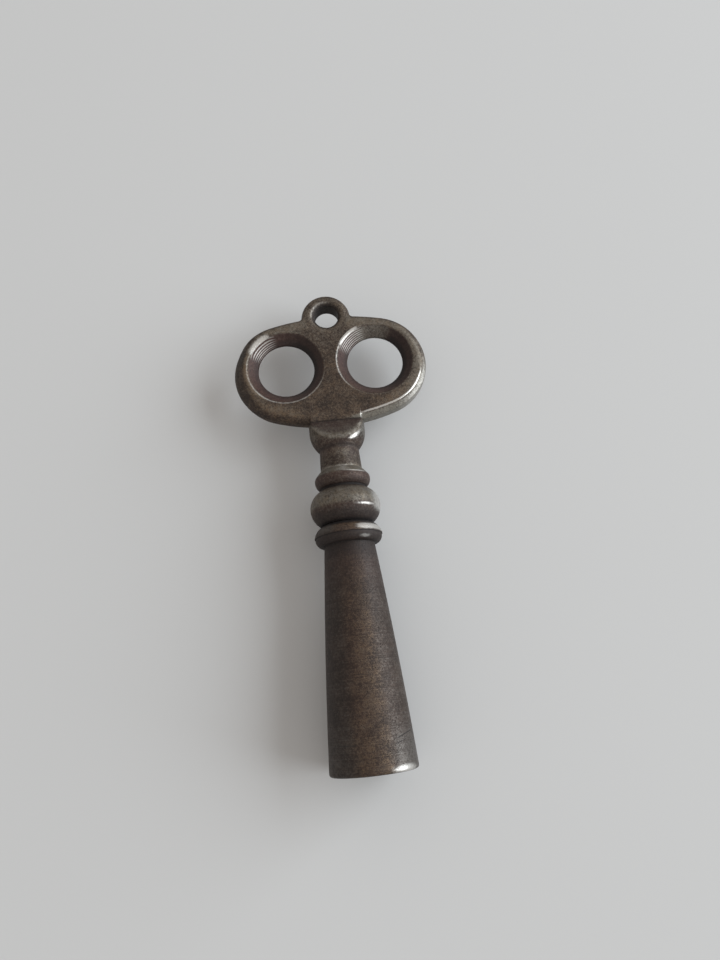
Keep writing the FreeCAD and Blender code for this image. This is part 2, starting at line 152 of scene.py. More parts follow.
# Lamp and world; places and sizes in millimetres, power in watts.
LAMP_PLACE = (1332, 157, 681)
LAMP_TARGET = (0, 40, 0)
LAMP_SIZE = (1731, 1242)
LAMP_POWER = 31
LAMP_TINT = (0.88, 0.95, 1.0)
WORLD_TINT = (0.87, 0.83, 0.79, 1.0)
WORLD_STRENGTH = 0.67

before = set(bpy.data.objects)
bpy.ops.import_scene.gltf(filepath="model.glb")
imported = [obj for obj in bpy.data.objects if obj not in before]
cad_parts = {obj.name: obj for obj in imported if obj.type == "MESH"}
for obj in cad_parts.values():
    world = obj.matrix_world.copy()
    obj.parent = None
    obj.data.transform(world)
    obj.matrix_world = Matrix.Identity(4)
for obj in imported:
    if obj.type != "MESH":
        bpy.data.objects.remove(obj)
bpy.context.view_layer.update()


def smooth(low, high, value):
    """Smooth step from 0 at low to 1 at high."""
    part = np.clip((value - low) / (high - low), 0.0, 1.0)
    return part * part * (3 - 2 * part)


def link_mesh(name, mesh):
    """Object for a mesh, in the scene."""
    piece = bpy.data.objects.new(name, mesh)
    bpy.context.collection.objects.link(piece)
    return piece


def positions(mesh):
    """Vertex positions of a mesh in millimetres."""
    flat = np.empty(len(mesh.vertices) * 3)
    mesh.vertices.foreach_get("co", flat)
    return flat.reshape(-1, 3) / MM


def set_positions(mesh, points):
    """Put millimetre positions back into a mesh."""
    mesh.vertices.foreach_set("co", (points * MM).ravel())
    mesh.update()


def joined(a, b, radius):
    """Signed distance to both shapes together, with a hollow of this radius between them."""
    inside = np.hypot(np.maximum(radius - a, 0), np.maximum(radius - b, 0))
    return np.maximum(radius, np.minimum(a, b)) - inside


def overlap(a, b, radius):
    """Signed distance to what both shapes share, with its edge rounded."""
    outside = np.hypot(np.maximum(radius + a, 0), np.maximum(radius + b, 0))
    return np.minimum(-radius, np.maximum(a, b)) + outside


def oval_distance(x, y):
    """Distance to the bow's oval in its plane, from its four arcs."""
    height = np.where(y > OVAL_Y, HIGH_HEIGHT, LOW_HEIGHT)
    side_radius = (END_ACROSS**2 + height**2 - END_RADIUS**2) / (2 * (height - END_RADIUS))
    drop = side_radius - height
    across = np.abs(x)
    up = np.abs(y - OVAL_Y)
    past_end = across * drop > (up + drop) * END_ACROSS
    end = np.hypot(across - END_ACROSS, up) - END_RADIUS
    side = np.hypot(across, up + drop) - side_radius
    return np.where(past_end, end, side)


def outline_distance(x, y):
    """Distance to the outline of the oval and the eye."""
    return joined(oval_distance(x, y), np.hypot(x - EYE_X, y - EYE_Y) - EYE_RADIUS, EYE_BLEND)


def across_finger_hole(x):
    """How far right of the nearer finger hole's axis a place is."""
    return np.where(x < 0, x - LEFT_HOLE, x - RIGHT_HOLE)


def from_finger_hole(x, y):
    """Distance from the axis of the nearer finger hole."""
    return np.hypot(across_finger_hole(x), y - FINGER_Y)


def upper_left(x, y, none=0.8, full=0.98):
    """One where a finger hole's rim faces the upper left, zero round the rest of it."""
    across = across_finger_hole(x)
    up = y - FINGER_Y
    return smooth(none, full, (LIT_UP * up - LIT_LEFT * across) / np.hypot(across, up))


def edge_width(x, y):
    """Width of the filed slope round the bow's outside, widest at the left end."""
    plain, more_left, less_above, more_low_right = 0.75, 0.7, 0.15, 0.1
    left = smooth(9.0, 13.5, -x) * smooth(64.0, 60.0, y)
    upper = smooth(60.0, 63.0, y)
    low_right = smooth(3.0, 5.0, x) * smooth(57.5, 54.0, y)
    return plain + more_left * left - less_above * upper + more_low_right * low_right


def bow_distance(points):
    """Distance to the worn bow, in millimetres."""
    plate_rounding, slope_rounding, crisper_slope = 0.3, 0.5, 0.4
    root_rounding, seat_rounding, eye_rounding = 0.1, 0.05, 0.35
    hole_rounding, end_rounding, lip_rounding = 0.22, 0.2, 0.6
    x, y, z = points.T
    deep = np.abs(z)
    outline = outline_distance(x, y)
    width = edge_width(x, y)
    low_right = smooth(1.0, 4.0, x) * smooth(57.5, 54.0, y)
    plate = overlap(outline, deep - HALF_THICK, plate_rounding)
    slope = (outline + deep - HALF_THICK + width) / math.sqrt(2)
    plate = overlap(plate, slope, slope_rounding - crisper_slope * low_right)
    # Root of the bow, flat where it sits on the stem.
    root = np.maximum(np.abs(x) - ROOT_REACH, np.abs(y - BOW_SEAT - ROOT_HEIGHT / 2) - ROOT_HEIGHT / 2)
    root = overlap(root, deep - HALF_THICK, root_rounding)
    plate = joined(plate, root, root_rounding)
    plate = overlap(plate, BOW_SEAT - y, seat_rounding)
    # Countersunk finger holes: the left lip is worn round, the right one is crisp.
    from_hole = from_finger_hole(x, y)
    flare = (CONE_RADIUS - WAIST_RADIUS) / (HALF_THICK - HALF_LAND)
    cone = (WAIST_RADIUS + np.maximum(deep - HALF_LAND, 0) * flare - from_hole) / math.hypot(1, flare)
    worn_lip = upper_left(x, y) * (x < 0)
    left_end = smooth(-5.0, -9.0, x)
    plate = overlap(plate, cone, hole_rounding + end_rounding * left_end + lip_rounding * worn_lip)
    # Hanging eye, bevelled and worn.
    from_eye = np.hypot(x - EYE_HOLE_X, y - EYE_HOLE_Y)
    bevel = np.maximum(deep - (HALF_THICK - EYE_BEVEL), 0)
    eye = (EYE_HOLE + bevel - from_eye) / np.where(bevel > 0, math.sqrt(2), 1.0)
    plate = overlap(plate, eye, eye_rounding)
    # Tang in the stem.
    tang = np.maximum(np.hypot(x, z) - TANG_RADIUS, np.maximum(TANG_TIP - y, y - BOW_SEAT - 1.0))
    return np.minimum(plate, tang)


# In the marks below, limits and widths are in millimetres, or in radians where an angle is
# meant, and each factor is a share of one.

def band(value, middle, half_width):
    """One at the middle, falling smoothly to zero on both sides."""
    return 1 - smooth(0.0, half_width, np.abs(value - middle))


def bow_marks(points):
    """Worn lines, rubbed bands, rust and grime on the bow, with painted highlights, reflections and shade
    among them, each from zero to one.
    """
    x, y, z = points.T
    deep = np.abs(z)
    outline = outline_distance(x, y)
    from_hole = from_finger_hole(x, y)
    on_face = smooth(1.4, 1.62, deep)
    near_face = smooth(WALL_DEPTH, EDGE_DEPTH, deep)
    in_hole = smooth(CONE_RADIUS, INNER_RIM, from_hole)
    from_eye = np.hypot(x - EYE_HOLE_X, y - EYE_HOLE_Y)
    beside_web = np.exp(-((x - 1.2) / 1.4) ** 2)
    # Painted highlight: the finger holes' worn lips shine brightest at their upper left, where the lamp's
    # glint falls.
    corner = upper_left(x, y, 0.9, 0.99)
    low = smooth(57.0, 53.5, y)
    rim = band(from_hole, RIM_RADIUS - 0.02, 0.25) * near_face
    rim_strength = 0.2 + 0.25 * beside_web * (x > 0) + 0.22 * low * (x < 0) + 0.12 * smooth(-8, -11, x)
    inner_side = smooth(INNER_RIM, RIM_RADIUS - 0.2, from_hole)
    past_rim = from_hole - RIM_RADIUS
    glow = np.where(x < 0, smooth(0.9, -0.1, past_rim), smooth(0.3, 0.1, past_rim))
    lip_wear_and_glint = inner_side * glow * corner * smooth(1.0, 1.4, deep)
    low_right = smooth(3.0, 5.0, x) * smooth(57.5, 54.5, y)
    low_left = smooth(-3.5, -6.0, x) * smooth(56.5, 54.0, y)
    outer = band(outline, -edge_width(x, y), 0.24) * smooth(1.45, 1.6, deep)
    outer_strength = 0.1 + 0.75 * low_right * smooth(14.2, 12.5, x)
    eye_rim = band(from_eye, EYE_HOLE + EYE_BEVEL - 0.05, 0.4) * near_face
    # Painted highlight on the eye's bevel at its upper left.
    eye_glint_corner = smooth(0.3, 0.9, (0.7 * (y - EYE_HOLE_Y) - 0.7 * (x - EYE_HOLE_X)) / from_eye)
    root_corner = band(np.abs(x), ROOT_REACH, 0.18) * smooth(50.5, 49.0, y) * smooth(1.3, 1.6, deep)
    # Painted reflection: the bow's right side band is lighter, brighter and greyer, like the pale floor
    # mirrored in it.
    side_right_reflection = smooth(1.0, 4.0, x) * smooth(61.0, 54.0, y) * smooth(-0.85, -0.5, outline)
    wear = np.maximum.reduce([
        rim * rim_strength, lip_wear_and_glint * np.where(x < 0, 0.95, 0.8), outer * outer_strength,
        eye_rim * (0.1 + 0.22 * eye_glint_corner), 0.6 * root_corner * (x > 0),
        side_right_reflection * (0.12 + 0.25 * smooth(8.0, 12.0, x) * smooth(1.75, 1.2, deep))])
    near_edge = smooth(-3.0, -1.2, outline) * on_face
    # Painted light on the right finger hole's top wall: lighter and greyer, with less grime and rust.
    lit_top_wall = in_hole * smooth(0.75, 0.95, (y - FINGER_Y) / from_hole) * (x > 0)
    upper = smooth(58.0, 62.0, y)
    left_lip = band(from_hole, RIM_RADIUS + 0.2, 0.6) * smooth(-9.0, -11.0, x)
    rub = np.maximum.reduce([
        0.8 * near_edge * smooth(4.0, 9.0, x), 0.7 * near_edge * low_left,
        0.8 * near_edge * upper * smooth(2.6, 3.6, from_eye),
        side_right_reflection, 0.35 * smooth(3.4, 2.6, from_eye) * on_face, 0.1 * on_face, left_lip,
        0.6 * lit_top_wall])
    # Finger holes: grime with painted shade on the walls that face left; painted shade on the bow's left
    # end; less of both on the lit upper-left walls and the right hole's top wall. Darker inside the eye
    # hole, and painted shade at the seat.
    left_end = smooth(9.5, 12.5, -x) * smooth(-1.9, -1.2, outline)
    seat_shade = smooth(0.35, 0.02, y - BOW_SEAT)
    shaded_left_facing = smooth(-0.2, 0.7, across_finger_hole(x) / from_hole)
    dirt = np.maximum.reduce([
        in_hole * (0.22 + 0.3 * smooth(1.0, 0.5, deep) + 0.4 * shaded_left_facing),
        0.35 * left_end * (1 - left_lip),
        0.7 * smooth(EYE_HOLE + 0.5, EYE_HOLE + 0.1, from_eye), 0.5 * seat_shade * on_face])
    dirt = dirt * (1 - 0.7 * np.maximum(in_hole * corner, lit_top_wall))
    # Tool marks in the finger holes, drawn only at the lit upper left, where they carry painted
    # highlights.
    rings = in_hole * smooth(0.15, 0.3, deep) * upper_left(x, y, 0.86, 0.96)
    # Painted cool reflection on the bow's right side and right end, and greyer towards the top and on the
    # lit top wall.
    grey = np.maximum.reduce([side_right_reflection, 0.5 * smooth(8.0, 13.0, x), 0.35 * upper, 0.8 * lit_top_wall])
    rust = in_hole * (1 - lip_wear_and_glint) * (1 - 0.7 * lit_top_wall)
    return {"wear": wear, "rub": rub, "dirt": dirt, "rust": rust, "rings": rings, "grey": grey}


def settle(points, distance, rounds=5):
    """Move points onto the surface where a distance is zero."""
    step, least_steep, share = 0.01, 0.2, 0.9
    for _ in range(rounds):
        here = distance(points)
        slope = np.empty_like(points)
        for axis in range(3):
            shift = np.zeros(3)
            shift[axis] = step
            slope[:, axis] = (distance(points + shift) - distance(points - shift)) / (2 * step)
        steep = np.maximum((slope**2).sum(axis=1), least_steep)
        points = points - slope * (here / steep)[:, None] * share
    return points


def make_bow():
    """Worn bow, from a fine copy of the CAD solid."""
    voxel, same_place = 0.13, 1e-7
    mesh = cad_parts["bow"].data.copy()
    piece = link_mesh("bow_worn", mesh)
    mesh.materials.clear()
    soft = bmesh.new()
    soft.from_mesh(mesh)
    bmesh.ops.remove_doubles(soft, verts=soft.verts, dist=same_place)
    soft.to_mesh(mesh)
    soft.free()
    remesh = piece.modifiers.new("fine", "REMESH")
    remesh.mode = "VOXEL"
    remesh.voxel_size = voxel * MM
    bpy.context.view_layer.update()
    result = bpy.data.meshes.new_from_object(piece.evaluated_get(bpy.context.evaluated_depsgraph_get()))
    piece.modifiers.clear()
    piece.data = result
    bpy.data.meshes.remove(mesh)
    points = settle(positions(result), bow_distance)
    low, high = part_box("bow")
    points = np.clip(points, np.array(low) / MM, np.array(high) / MM)
    set_positions(result, points)
    return piece


def arc(centre, radius, first, last, count):
    """Profile points on an arc, angles in degrees from the outward direction."""
    angles = np.radians(np.linspace(first, last, count))
    return [(centre[0] + radius * math.cos(a), centre[1] + radius * math.sin(a), 0.0) for a in angles]


def bulged(start, finish, swell, count=12):
    """Profile points between two corners on a shallow curve, the ends left out."""
    run = np.subtract(finish, start)
    normal = np.array([run[1], -run[0]]) / np.hypot(*run)
    points = []
    for part in np.linspace(0, 1, count + 2)[1:-1]:
        place = np.add(start, run * part) + normal * swell * 4 * part * (1 - part)
        points.append((place[0], place[1], 0.0))
    return points


def rounded(corners, spacing):
    """Fine profile through corners (radius, height, rounding)."""
    longest_cut, curve_points = 0.48, 7
    corners = [np.array(corner, float) for corner in corners]
    line = []
    for index, corner in enumerate(corners):
        point, fillet = corner[:2], corner[2]
        if index in (0, len(corners) - 1) or fillet == 0:
            line.append(point)
            continue
        before, after = corners[index - 1][:2] - point, corners[index + 1][:2] - point
        reach_before, reach_after = np.hypot(*before), np.hypot(*after)
        before, after = before / reach_before, after / reach_after
        turn = math.acos(np.clip(before @ after, -1, 1))
        cut = min(fillet / math.tan(turn / 2), longest_cut * reach_before, longest_cut * reach_after)
        for part in np.linspace(0, 1, curve_points):
            line.append(point + before * cut * (1 - part) ** 2 + after * cut * part**2)
    fine = [line[0]]
    for start, finish in zip(line, line[1:]):
        count = max(1, math.ceil(np.hypot(*(finish - start)) / spacing))
        fine += [start + (finish - start) * part for part in np.linspace(0, 1, count + 1)[1:]]
    return np.array(fine)


def turned(name, corners, shape=None, spacing=0.16):
    """Closed turned piece round the key's axis; both ends of the profile are on it."""
    profile = rounded(corners, spacing)
    body = profile[1:-1]
    angles = np.linspace(0, 2 * math.pi, SEGMENTS, endpoint=False)
    radius = body[:, 0][:, None]
    points = np.stack(np.broadcast_arrays(
        radius * np.cos(angles), body[:, 1][:, None], radius * np.sin(angles)), axis=-1).reshape(-1, 3)
    if shape:
        points = shape(points)
    rows = len(body)
    ends = np.array([[0, profile[0][1], 0], [0, profile[-1][1], 0]])
    points = np.vstack([points, ends])
    faces = []
    for row in range(rows - 1):
        for turn in range(SEGMENTS):
            after = (turn + 1) % SEGMENTS
            near, far = row * SEGMENTS, (row + 1) * SEGMENTS
            faces.append((near + turn, far + turn, far + after, near + after))
    first, last = rows * SEGMENTS, rows * SEGMENTS + 1
    top = (rows - 1) * SEGMENTS
    for turn in range(SEGMENTS):
        after = (turn + 1) % SEGMENTS
        faces.append((first, turn, after))
        faces.append((last, top + after, top + turn))
    mesh = bpy.data.meshes.new(name)
    mesh.from_pydata((points * MM).tolist(), [], faces)
    mesh.validate()
    return link_mesh(name, mesh)


def above_facet(points):
    """Height over the plane of the nearer filed facet."""
    y, z = points[:, 1], points[:, 2]
    slope = (BOLSTER_RADIUS - HALF_THICK) / FACET_LENGTH
    return np.abs(z) - HALF_THICK - (BOW_SEAT - y) * slope


def file_flats(points):
    """The two filed facets of the bolster, with worn round edges."""
    edge_rounding, lowest, past_tang = 0.75, NECK_TOP + 0.3, 1.56
    x, y, z = points.T
    spare = above_facet(points)
    worn = edge_rounding * smooth(0.2, 1.4, BOW_SEAT - y)
    lowered = np.abs(z) - 0.5 * (spare + np.hypot(spare, worn))
    filed = (y > lowest) & (np.hypot(x, z) > past_tang)
    return np.stack([x, y, np.where(filed, np.sign(z) * lowered, z)], axis=1)


def make_stem():
    """Spigot, bead, ring, neck and bolster, with the hole for the bow's tang."""
    spigot_radius, spigot_foot, spigot_bevel = 2.0, 26.95, 0.35
    bead_centre, bead_radius, bead_reach = (2.17, (BARREL_TOP + BEAD_TOP) / 2), 2.86, 64.2
    ring_foot_radius, ring_radius, neck_radius = 3.25, 4.0, 2.875
    tang_hole, tang_floor, drill_tip = 1.52, 40.1, 39.2
    corners = [
        (0, spigot_foot, 0),
        (spigot_radius - spigot_bevel, spigot_foot, 0),
        (spigot_radius, spigot_foot + spigot_bevel, 0),
        (spigot_radius, BARREL_TOP, 0),
        (3.4, BARREL_TOP, 0.05),
    ]
    corners += arc(bead_centre, bead_radius, -bead_reach, bead_reach, 44)
    corners += [(3.35, BEAD_TOP + 0.08, 0.05), (ring_foot_radius, RING_FOOT, 0.1)]
    corners += bulged((ring_foot_radius, RING_FOOT), (ring_radius, RING_FOOT + 1.15), 0.2)
    corners += bulged((ring_radius, RING_FOOT + 1.25), (3.93, RING_TOP - 0.9), 0.03)
    corners += [
        (3.9, RING_TOP - 0.82, 0.08),
        (3.35, RING_TOP - 0.12, 0.15),
        (3.03, RING_TOP + 0.1, 0.3),
        (neck_radius, NECK_TOP - 0.1, 0.4),
    ]
    corners += bulged((neck_radius, NECK_TOP), (BOLSTER_RADIUS, DOME_TOP), 0.35)
    corners += [(BOLSTER_RADIUS, DOME_TOP, 0.6), (BOLSTER_RADIUS, BOW_SEAT, 0.15)]
    corners += [(tang_hole, BOW_SEAT, 0), (tang_hole, tang_floor, 0), (0, drill_tip, 0)]
    return turned("stem_worn", corners, file_flats)


def round_axis(points):
    """Height, radius and angle; the angle is zero to the right and pi to the left."""
    x, y, z = points.T
    return y, np.hypot(x, z), np.arctan2(np.abs(z), x)


def stem_marks(points):
    """Worn edges, rubbed bands, rust and grime on the stem, with painted highlights, reflections and shade
    among them.
    """
    y, radius, angle = round_axis(points)
    outside = smooth(2.5, 2.8, radius)
    facing_right = smooth(1.25, 0.75, angle)
    rise = above_facet(points)
    on_bolster = smooth(NECK_TOP + 0.4, NECK_TOP + 1.0, y)
    lip = band(rise, -0.38, 0.5) * on_bolster * smooth(BOW_SEAT - 0.2, BOW_SEAT - 0.8, y)
    on_facet = smooth(-0.3, -0.12, rise) * on_bolster
    # Painted highlight: a bright diagonal glint on the bolster's right, below the facet's lip.
    bolster_glint = on_bolster * band(rise, -1.0, 0.6) * band(angle, 0.88, 0.52)
    ring_edge = band(y, RING_TOP - 0.84, 0.2) * smooth(3.7, 3.8, radius)
    ring_slope = smooth(RING_TOP - 0.85, RING_TOP - 0.75, y) * smooth(RING_TOP + 0.5, RING_TOP + 0.2, y)
    # Painted highlight: a belt of glinting dashes round the bead, strongest on its right front.
    bead_glint_belt = band(y, 35.0, 0.34) * smooth(4.65, 4.95, radius)
    # Painted reflection: the bead's right side is lighter and greyer.
    bead_right_reflection = smooth(4.2, 4.9, radius) * smooth(0.95, 0.3, angle) * smooth(33.6, 34.8, y)
    # Worn edges with painted highlights: the bolster's glint, the ring's top edge on the right, and the
    # bead's belt and right side.
    wear = np.maximum.reduce([
        0.18 * lip, 0.7 * bolster_glint, 0.35 * ring_slope * band(angle, 1.5, 0.6),
        ring_edge * (0.2 + 0.8 * band(angle, 1.05, 0.6)), 0.7 * bead_glint_belt * band(angle, 0.95, 0.6),
        0.6 * bead_right_reflection])
    # Painted light: the bead's upper half is lighter.
    lit_bead_upper = smooth(34.9, 35.6, y) * smooth(BEAD_TOP + 0.1, BEAD_TOP - 0.7, y)
    bolster_side = on_bolster * smooth(NECK_TOP + 1.0, NECK_TOP + 2.0, y) * smooth(-0.4, -0.7, rise)
    neck_patch = band(y, NECK_TOP - 1.0, 1.2) * smooth(3.4, 3.1, radius) * band(angle, 1.45, 0.8)
    rub = np.maximum.reduce([
        0.75 * lit_bead_upper, ring_slope, 0.5 * bolster_side, 0.5 * neck_patch, 0.9 * lip, 0.8 * bead_right_reflection])
    # Grime in the grooves and the joints; painted shade on the bead's lower half and on the filed facets;
    # darker on the ring's lower part.
    dirt = np.maximum.reduce([
        band(y, RING_FOOT - 0.1, 0.45), band(y, BARREL_TOP + 0.1, 0.65),
        0.5 * band(y, NECK_TOP + 0.1, 0.5), 0.35 * on_facet,
        0.7 * smooth(BOW_SEAT - 0.3, BOW_SEAT - 0.05, y), 0.65 * smooth(35.5, 33.8, y),
        0.3 * smooth(RING_FOOT + 1.2, RING_FOOT + 0.3, y) * (y > RING_FOOT)])
    rust = np.maximum.reduce([
        0.5 * on_facet, 0.4 * smooth(35.7, 34.9, y),
        0.5 * (y > RING_FOOT) * smooth(RING_TOP - 0.85, RING_TOP - 0.95, y), 0.3 * band(y, NECK_TOP, 2.2)])
    # Painted cool reflection on the bead's right side and the bolster's right side.
    grey = 0.15 + 0.8 * np.maximum(bead_right_reflection, 0.6 * facing_right * on_bolster * smooth(-0.6, -1.0, rise))
    return {
        "wear": wear * outside, "rub": rub * outside, "dirt": dirt, "rust": rust, "grey": grey,
        "rings": np.zeros_like(y)}


def make_barrel():
    """Tapered barrel with its collar, bored from both ends."""
    bush_radius, bush_depth, mouth_bevel = 4.2455, 14.0, 0.1
    relief_radius, relief_depth, relief_tip = 3.6955, 18.0, 20.22
    bore_radius, bore_floor, bore_tip = 2.02, 26.55, 25.34
    mouth_radius, small_radius, collar_radius, cap_radius = 5.9, 3.575, 4.825, 3.6
    corners = [
        (0, relief_tip, 0),
        (relief_radius, relief_depth, 0),
        (relief_radius, bush_depth, 0),
        (bush_radius, bush_depth, 0),
        (bush_radius, mouth_bevel, 0),
        (bush_radius + mouth_bevel, 0.0, 0),
        (mouth_radius, 0.0, 0.5),
    ]
    corners += bulged((mouth_radius, 0.0), (small_radius, COLLAR_FOOT), 0.16, 30)
    corners += [(small_radius, COLLAR_FOOT, 0.15)]
    corners += bulged((3.6, COLLAR_FOOT + 0.03), (4.74, COLLAR_EDGE - 0.3), 0.33)
    corners += [(4.72, COLLAR_EDGE - 0.16, 0.03), (collar_radius, COLLAR_EDGE - 0.1, 0.03)]
    corners += [(collar_radius, COLLAR_EDGE + 0.03, 0.04)]
    corners += bulged((4.8, COLLAR_EDGE + 0.06), (cap_radius, BARREL_TOP), 0.24)
    corners += [(cap_radius, BARREL_TOP, 0.05), (bore_radius, BARREL_TOP, 0)]
    corners += [(bore_radius, bore_floor, 0), (0, bore_tip, 0)]
    return turned("barrel_worn", corners, spacing=0.2)


def barrel_marks(points):
    """Worn edges, rubbed bands, rust and grime on the barrel, with painted highlights, reflections and
    shade among them.
    """
    y, radius, angle = round_axis(points)
    outside = smooth(3.2, 3.4, radius)
    facing_right = smooth(1.5, 1.0, angle)
    cap = smooth(COLLAR_EDGE, COLLAR_EDGE + 0.1, y) * smooth(BARREL_TOP, BARREL_TOP - 0.5, y)
    shoulder = cap * smooth(4.35, 4.6, radius)
    # Painted highlight: a glint on the mouth's rounded edge at the right.
    mouth_edge_glint = smooth(1.3, 0.3, y) * smooth(5.3, 5.6, radius) * band(angle, 0.8, 0.6)
    mouth_side = smooth(7.0, 3.0, y) * smooth(1.2, 0.9, angle) * smooth(5.3, 5.5, radius)
    collar_edge = band(y, COLLAR_EDGE - 0.03, 0.12) * smooth(4.7, 4.8, radius)
    under_shine = band(y, COLLAR_EDGE - 0.9, 0.35) * smooth(4.0, 4.3, radius) * band(angle, 1.05, 0.3)
    # Worn edges with painted highlights: the collar cap's right shoulder, the collar's edge on the right,
    # the shine under it and the mouth's edge.
    wear = np.maximum.reduce([
        shoulder * facing_right, collar_edge * (0.1 + 0.3 * facing_right), under_shine,
        0.85 * mouth_edge_glint, 0.12 * mouth_side])
    # Rubbed areas with painted sheen: the collar cap lighter on its right, and a lighter stripe along the
    # barrel's top.
    rub = np.maximum.reduce([
        cap * (0.3 + 0.45 * facing_right + 0.4 * band(angle, 2.3, 0.6)),
        0.3 * smooth(9.0, 2.0, y) * (radius > 5),
        0.3 * smooth(28.0, 14.0, y) * band(angle, 1.5, 0.45),
        0.8 * mouth_side])
    # Painted shadow: a dark line under the collar's cap edge.
    shadow_below_edge = band(y, COLLAR_EDGE - 0.17, 0.12) * smooth(4.5, 4.6, radius)
    # Painted shade: darker towards the collar and in its hollow, on the barrel's left side, and at the
    # mouth's end; grime where the stem sits on the cap.
    dirt = np.maximum.reduce([
        (0.25 * smooth(17.0, 25.0, y) + 0.45 * smooth(26.5, 29.5, y)) * (y < COLLAR_EDGE - 0.1),
        0.9 * shadow_below_edge, 0.35 * smooth(1.75, 2.2, angle),
        0.9 * band(y, COLLAR_FOOT, 0.35), smooth(BARREL_TOP - 0.6, BARREL_TOP - 0.3, y),
        0.8 * smooth(0.12, 0.02, y)])
    rust = np.maximum.reduce([
        0.4 * smooth(COLLAR_EDGE, COLLAR_EDGE - 0.2, y) * smooth(20.0, 30.0, y),
        0.2 * band(angle, 1.7, 0.6)])
    # Painted cool reflection on the barrel's right side, and a cooler, darker left side.
    grey = np.maximum(smooth(1.3, 0.95, angle), 0.8 * smooth(1.8, 2.2, angle))
    return {
        "wear": wear * outside, "rub": rub * outside, "dirt": dirt, "rust": rust, "grey": grey,
        "rings": np.zeros_like(y)}


def mark(piece, marks):
    """Store a piece's worn, rubbed, rusty and grimy marks, with its painted highlights, reflections and
    shade, on its points, and shade it smooth.
    """
    mesh = piece.data
    for name, amount in marks(positions(mesh)).items():
        layer = mesh.attributes.new(name, "FLOAT", "POINT")
        layer.data.foreach_set("value", np.clip(amount, 0.0, 1.0).astype(np.float32))
    mesh.polygons.foreach_set("use_smooth", np.ones(len(mesh.polygons), bool))


class Shader:
    """Short names for building a material's nodes."""

    def __init__(self, name):
        self.material = bpy.data.materials.new(name)
        self.material.use_nodes = True
        self.tree = self.material.node_tree
        self.surface = self.tree.nodes["Principled BSDF"]
        place = self.tree.nodes.new("ShaderNodeTexCoord")
        scaled = self.node("ShaderNodeVectorMath", operation="SCALE")
        self.feed(scaled.inputs[0], place.outputs["Object"])
        scaled.inputs["Scale"].default_value = 1 / MM
        self.place = scaled.outputs[0]

    def node(self, kind, **settings):
        """New node with these settings."""
        made = self.tree.nodes.new(kind)
        for name, setting in settings.items():
            setattr(made, name, setting)
        return made

    def feed(self, socket, source):
        """Link an output, or set a constant."""
        if isinstance(source, bpy.types.NodeSocket):
            self.tree.links.new(source, socket)
        else:
            socket.default_value = source

    def math(self, operation, *values, clamp=False):
        """Result of a sum, product or other operation."""
        made = self.node("ShaderNodeMath", operation=operation, use_clamp=clamp)
        for socket, source in zip(made.inputs, values):
            self.feed(socket, source)
        return made.outputs[0]

    def noise(self, scale, detail, rough, place=None):
        """Cloudy noise; the scale is in features to the millimetre."""
        made = self.node("ShaderNodeTexNoise")
        self.feed(made.inputs["Vector"], place or self.place)
        made.inputs["Scale"].default_value = scale
        made.inputs["Detail"].default_value = detail
        made.inputs["Roughness"].default_value = rough
        return made.outputs["Fac"]

    def step(self, source, low, high):
        """Smooth step of a value from low to high."""
        made = self.node("ShaderNodeMapRange", interpolation_type="SMOOTHSTEP")
        self.feed(made.inputs["Value"], source)
        self.feed(made.inputs["From Min"], low)
        self.feed(made.inputs["From Max"], high)
        return made.outputs["Result"]

    def mix(self, part, first, second):
        """Colour between two, by part."""
        made = self.node("ShaderNodeMix", data_type="RGBA")
        self.feed(made.inputs["Factor"], part)
        self.feed(made.inputs[6], first)
        self.feed(made.inputs[7], second)
        return made.outputs[2]

    def between(self, part, first, second):
        """Number between two, by part."""
        made = self.node("ShaderNodeMix", data_type="FLOAT")
        self.feed(made.inputs["Factor"], part)
        self.feed(made.inputs[2], first)
        self.feed(made.inputs[3], second)
        return made.outputs[0]

    def stretched(self, across, along, deep):
        """Place scaled by axis, for noise drawn out along one of them."""
        made = self.node("ShaderNodeVectorMath", operation="MULTIPLY")
        self.feed(made.inputs[0], self.place)
        made.inputs[1].default_value = (across, along, deep)
        return made.outputs[0]

    def height(self):
        """Millimetres above the key's middle plane."""
        split = self.node("ShaderNodeSeparateXYZ")
        self.feed(split.inputs[0], self.place)
        return split.outputs["Z"]

    def scratch(self, start, finish, width):
        """One on a line across the key's front between two points, zero beside it."""
        run = Vector((finish[0] - start[0], finish[1] - start[1], 0))
        from_start = self.node("ShaderNodeVectorMath", operation="SUBTRACT")
        self.feed(from_start.inputs[0], self.place)
        from_start.inputs[1].default_value = (start[0], start[1], 0)
        along, aside = (self.node("ShaderNodeVectorMath", operation="DOT_PRODUCT") for _ in range(2))
        along.inputs[1].default_value = run / run.length_squared
        aside.inputs[1].default_value = run.cross((0, 0, 1)).normalized()
        for part in (along, aside):
            self.feed(part.inputs[0], from_start.outputs[0])
        line = self.step(self.math("ABSOLUTE", aside.outputs["Value"]), width, 0.3 * width)
        off_middle = self.math("ABSOLUTE", self.math("SUBTRACT", along.outputs["Value"], 0.5))
        line = self.math("MULTIPLY", line, self.step(off_middle, 0.5, 0.2))
        return self.math("MULTIPLY", line, self.step(self.height(), 0.5, 1.0))

    def attribute(self, name):
        """Mark that is stored on the piece's points."""
        return self.node("ShaderNodeAttribute", attribute_name=name).outputs["Fac"]

    def bump(self, height, distance, strength=1.0):
        """Fine relief; the distance is in millimetres."""
        made = self.node("ShaderNodeBump")
        made.inputs["Distance"].default_value = distance * MM
        self.feed(made.inputs["Strength"], strength)
        self.feed(made.inputs["Height"], height)
        return made.outputs[0]


